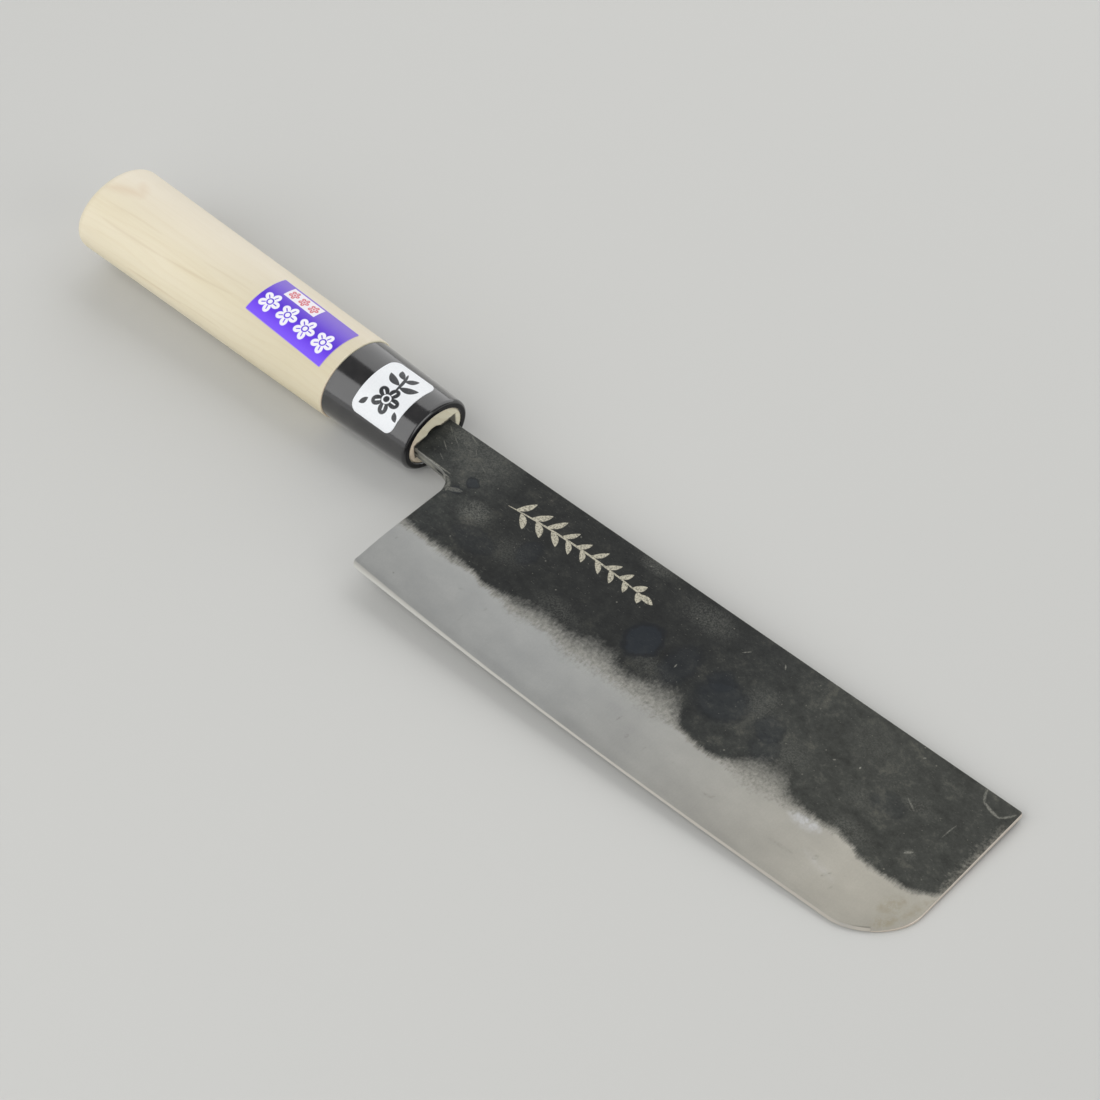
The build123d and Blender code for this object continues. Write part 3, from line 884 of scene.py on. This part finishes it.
def buildFerruleGloss():
    made, tree, surface = newMaterial("ferruleGloss", **ferrule["shader"])
    place, facing = knifePlace(tree)
    facingAlong, _, _ = parts(tree, facing)
    soil = useGroup(tree, handling, {"Vector": place})
    swirl = noise(tree, stretch(tree, place, (6.0, 0.3, 0.3)), 1.0, 2.0, 0.6)
    clouds = noise(tree, place, 0.3, 3.0, 0.6)
    color = mixColor(tree, steps(tree, clouds, 0.35, 0.7), ferrule["dark"], ferrule["lighter"])
    color = mixColor(tree, times(tree, soil["Dust"], 0.3), color, ferrule["dust"])
    rough = plus(tree, 0.1, times(tree, soil["Smudge"], 0.08))
    rough = plus(tree, rough, times(tree, swirl, 0.05))
    height = weighted(tree, (swirl, 0.0012), (clouds, 0.02))
    feed(tree, color, surface.inputs["Base Color"])
    feed(tree, rough, surface.inputs["Roughness"])
    # the gloss coat covers the round side and its front edge, not the flat front
    coat = steps(tree, facingAlong, 0.985, 0.9)
    feed(tree, coat, surface.inputs["Coat Weight"])
    setBump(tree, surface, height, 0.5)
    return made


violetLabel = {
    "centre": (-61.5, 44.5),
    "turn": math.radians(-2.8),
    "length": 29.1,
    "width": 13.8,
    # a row of white blossoms, and small red ones in a white field
    "blossomPitch": 6.9,
    "blossomRadius": 3.25,
    "blossomHeight": -1.75,
    "inset": (-3.95, 4.35, 11.9, 4.0),
    "smallPitch": 3.75,
    "smallRadius": 1.6,
    # from the lower to the upper border
    "violets": [
        (0.0, tint(122, 80, 246)),
        (0.16, tint(104, 60, 228)),
        (0.4, tint(82, 42, 205)),
        (0.62, tint(98, 62, 208)),
        (1.0, tint(132, 108, 205)),
    ],
    "fibreTint": tint(140, 112, 232),
    "blossomTint": tint(241, 240, 246),
    "fieldTint": tint(236, 231, 238),
    "redTint": tint(206, 70, 84),
    "cutTint": tint(176, 158, 236),
}


def buildVioletPaper():
    made, tree, surface = newMaterial("violetPaper", **{"Specular IOR Level": 0.3})
    place, _ = knifePlace(tree)
    local = fromPoint(tree, place, (*violetLabel["centre"], 0.0))
    local = stretch(tree, local, (1, 1, 0), (0, 0, -violetLabel["turn"]))
    x, y, _ = parts(tree, local)
    pulp = useGroup(tree, paperPulp, {"Vector": place})

    halfLength, halfWidth = violetLabel["length"] / 2, violetLabel["width"] / 2
    color = colorRamp(tree, steps(tree, y, -halfWidth, halfWidth), violetLabel["violets"])
    fibres = steps(tree, pulp["Tone"], 0.35, 0.65, 0.0, 0.12)
    color = mixColor(tree, fibres, color, violetLabel["fibreTint"])

    pitch = violetLabel["blossomPitch"]
    cell = minus(tree, calc(tree, "WRAP", x, pitch, 0.0), pitch / 2)
    row = point(tree, cell, minus(tree, y, violetLabel["blossomHeight"]))
    flowers = useGroup(tree, blossom, {"Vector": row, "Radius": violetLabel["blossomRadius"]})["Mask"]
    flowers = times(tree, flowers, calc(tree, "LESS_THAN", calc(tree, "ABSOLUTE", x), pitch * 2))
    color = mixColor(tree, flowers, color, violetLabel["blossomTint"])

    fieldX, fieldY, fieldLength, fieldWidth = violetLabel["inset"]
    inX = minus(tree, x, fieldX)
    inY = minus(tree, y, fieldY)
    field = times(
        tree,
        steps(tree, calc(tree, "ABSOLUTE", inX), fieldLength / 2 + 0.05, fieldLength / 2 - 0.05),
        steps(tree, calc(tree, "ABSOLUTE", inY), fieldWidth / 2 + 0.05, fieldWidth / 2 - 0.05),
    )
    color = mixColor(tree, field, color, violetLabel["fieldTint"])
    small = violetLabel["smallPitch"]
    cell = calc(tree, "WRAP", inX, small / 2, -small / 2)
    row = point(tree, cell, inY)
    red = useGroup(tree, blossom, {"Vector": row, "Radius": violetLabel["smallRadius"]})["Mask"]
    red = times(tree, red, calc(tree, "LESS_THAN", calc(tree, "ABSOLUTE", inX), small * 1.5))
    color = mixColor(tree, times(tree, red, 0.85), color, violetLabel["redTint"])

    # bare paper at the cut edge
    edge = calc(
        tree,
        "MAXIMUM",
        minus(tree, calc(tree, "ABSOLUTE", x), halfLength),
        minus(tree, calc(tree, "ABSOLUTE", y), halfWidth),
    )
    color = mixColor(tree, steps(tree, edge, -0.16, -0.04, 0.0, 0.6), color, violetLabel["cutTint"])
    feed(tree, color, surface.inputs["Base Color"])
    feed(tree, plus(tree, 0.3, times(tree, pulp["Tone"], 0.14)), surface.inputs["Roughness"])
    setBump(tree, surface, pulp["Height"], 0.6)
    return made


whiteLabel = {
    "centreAlong": -26.75,
    "middleAngle": math.radians(103.75),
    "radius": 10.39,
    "paperTints": (tint(226, 229, 232), tint(237, 239, 241)),
    "inkTint": tint(36, 38, 42),
    # a blossom on a leafy twig, in ink
    "blossomAt": (0.7, 2.7),
    "blossomRadius": 4.1,
    "twig": [(0.9, -0.4, -104, 7.2, 1.0, 0.5, 1)],
    "leaves": [
        (0.9, -2.0, -28, 5.4, 2.2, 0.5, 1), (0.5, -2.6, -158, 5.2, 2.2, -0.5, 1),
        (0.4, -4.6, -50, 4.0, 1.9, 0.3, 1), (-0.1, -5.0, -140, 3.6, 1.8, -0.3, 1),
        (4.9, 4.3, 48, 2.8, 1.5, 0.2, 1), (-3.8, 4.9, 126, 2.8, 1.5, -0.2, 1),
    ],
}


def buildWhitePaper():
    made, tree, surface = newMaterial("whitePaper")
    place, _ = knifePlace(tree)
    along, across, out = parts(tree, place)
    pulp = useGroup(tree, paperPulp, {"Vector": place})
    # the label's own flat coordinates, unrolled round the ferrule
    angle = calc(tree, "ARCTAN2", out, minus(tree, across, knife["handleCentre"]))
    unrolled = times(tree, minus(tree, angle, whiteLabel["middleAngle"]), whiteLabel["radius"])
    local = point(tree, minus(tree, along, whiteLabel["centreAlong"]), unrolled)
    color = mixColor(tree, steps(tree, pulp["Tone"], 0.3, 0.7), *whiteLabel["paperTints"])
    flower = fromPoint(tree, local, (*whiteLabel["blossomAt"], 0.0))
    ink = topOf(
        tree,
        [
            useGroup(tree, blossom, {"Vector": flower, "Radius": whiteLabel["blossomRadius"]})["Mask"],
            strokes(tree, local, whiteLabel["twig"], fullness=0.4, feather=0.12),
            strokes(tree, local, whiteLabel["leaves"], fullness=0.75, feather=0.12),
        ],
    )
    dry = noise(tree, stretch(tree, local, (2.0, 9.0, 1.0), (0, 0, 0.4)), 1.0, 2.0, 0.6)
    ink = times(tree, ink, steps(tree, dry, 0.3, 0.42, 0.8, 1.0))
    color = mixColor(tree, ink, color, whiteLabel["inkTint"])
    feed(tree, color, surface.inputs["Base Color"])
    feed(tree, plus(tree, 0.26, times(tree, pulp["Tone"], 0.14)), surface.inputs["Roughness"])
    setBump(tree, surface, pulp["Height"], 0.5)
    return made


finishes = {
    "cladding_right": buildForgedIron(),
    "core_steel": buildCoreSteel(),
    "handle_wood": buildPaleWood(),
    "ferrule": buildFerruleGloss(),
    "handle_label": buildVioletPaper(),
    "ferrule_label": buildWhitePaper(),
}
finishes["cladding_left"] = finishes["cladding_right"]
for name, finish in finishes.items():
    mesh = cad[name].data
    mesh.materials.clear()
    mesh.materials.append(finish)
print("materials placed on", len(finishes), "pieces")


studio = {
    "floorSize": 8.0,
    "floor": tint(200, 200, 197),
    # Two long softboxes lean over the knife and leave a dark gap overhead. A weaker one fades the
    # near one out downwards, and one stands beyond the tip. Each holds the middles of its low and
    # high edges, the way out from the knife, its length and its power
    "farBox": ((-0.3, 1.1, 0.05), (-0.3, 0.42, 1.05), (0, 1, 0), 1.7, 8.0),
    "nearBox": ((-0.3, -1.15, 0.3), (-0.3, -0.36, 1.1), (0, -1, 0), 1.7, 10.5),
    "skirtBox": ((-0.3, -1.3, 0.0), (-0.3, -1.16, 0.28), (0, -1, 0), 1.7, 1.2),
    "endBox": ((1.3, 0.1, 0.1), (1.15, 0.1, 0.9), (1, 0, 0), 1.0, 4.5),
    "world": 0.27,
    # the camera solved from the photograph
    "lens": 90.12,
    "sensor": 36.0,
    "clip": (0.01, 20.0),
    "cameraAt": (0.348557, -0.308418, 0.496856),
    "cameraRight": (0.724306, 0.688155, -0.042726),
    "cameraUp": (-0.484313, 0.551905, 0.678854),
}


def buildFloor():
    made, tree, surface = newMaterial("paleFloor", **{"Roughness": 0.7})
    given = tree.nodes.new("ShaderNodeTexCoord")
    cloud = noise(tree, given.outputs["Object"], 2.0, 2.0, 0.5)
    shade = mixColor(tree, cloud, studio["floor"], [c * 0.985 for c in studio["floor"]])
    feed(tree, shade, surface.inputs["Base Color"])
    shape = bmesh.new()
    bmesh.ops.create_grid(shape, x_segments=1, y_segments=1, size=studio["floorSize"] / 2)
    bmesh.ops.translate(shape, verts=shape.verts, vec=(0, 0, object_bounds()[0][2] - 0.00002))
    mesh = bpy.data.meshes.new("floor")
    shape.to_mesh(mesh)
    shape.free()
    mesh.materials.append(made)
    floor = bpy.data.objects.new("floor", mesh)
    bpy.context.scene.collection.objects.link(floor)


def placeAt(made, middle, right, up):
    # puts a lamp or camera in the scene with its own x to the right and its own y up
    turned = Matrix((right, up, right.cross(up))).transposed().to_4x4()
    made.matrix_world = Matrix.Translation(middle) @ turned
    bpy.context.scene.collection.objects.link(made)


def addSoftbox(name, low, high, away, length, power):
    low, high = Vector(low), Vector(high)
    light = bpy.data.lights.new(name, "AREA")
    light.shape = "RECTANGLE"
    light.size, light.size_y = length, (high - low).length
    light.energy = power
    lift = (high - low).normalized()
    side = lift.cross(Vector(away)).normalized()
    placeAt(bpy.data.objects.new(name, light), (low + high) / 2, side, lift)


def buildStudio():
    buildFloor()
    for name in ("farBox", "nearBox", "skirtBox", "endBox"):
        addSoftbox(name, *studio[name])
    world = bpy.data.worlds.new("studioRoom")
    world.use_nodes = True
    world.node_tree.nodes["Background"].inputs["Color"].default_value = (1, 1, 1, 1)
    world.node_tree.nodes["Background"].inputs["Strength"].default_value = studio["world"]
    bpy.context.scene.world = world
    bpy.context.scene.view_settings.view_transform = "Standard"


def buildCamera():
    lens = bpy.data.cameras.new("photoCamera")
    lens.sensor_width = studio["sensor"]
    lens.lens = studio["lens"]
    lens.clip_start, lens.clip_end = studio["clip"]
    camera = bpy.data.objects.new("photoCamera", lens)
    placeAt(camera, studio["cameraAt"], Vector(studio["cameraRight"]), Vector(studio["cameraUp"]))
    bpy.context.scene.camera = camera


buildStudio()
buildCamera()
print("studio and camera set")
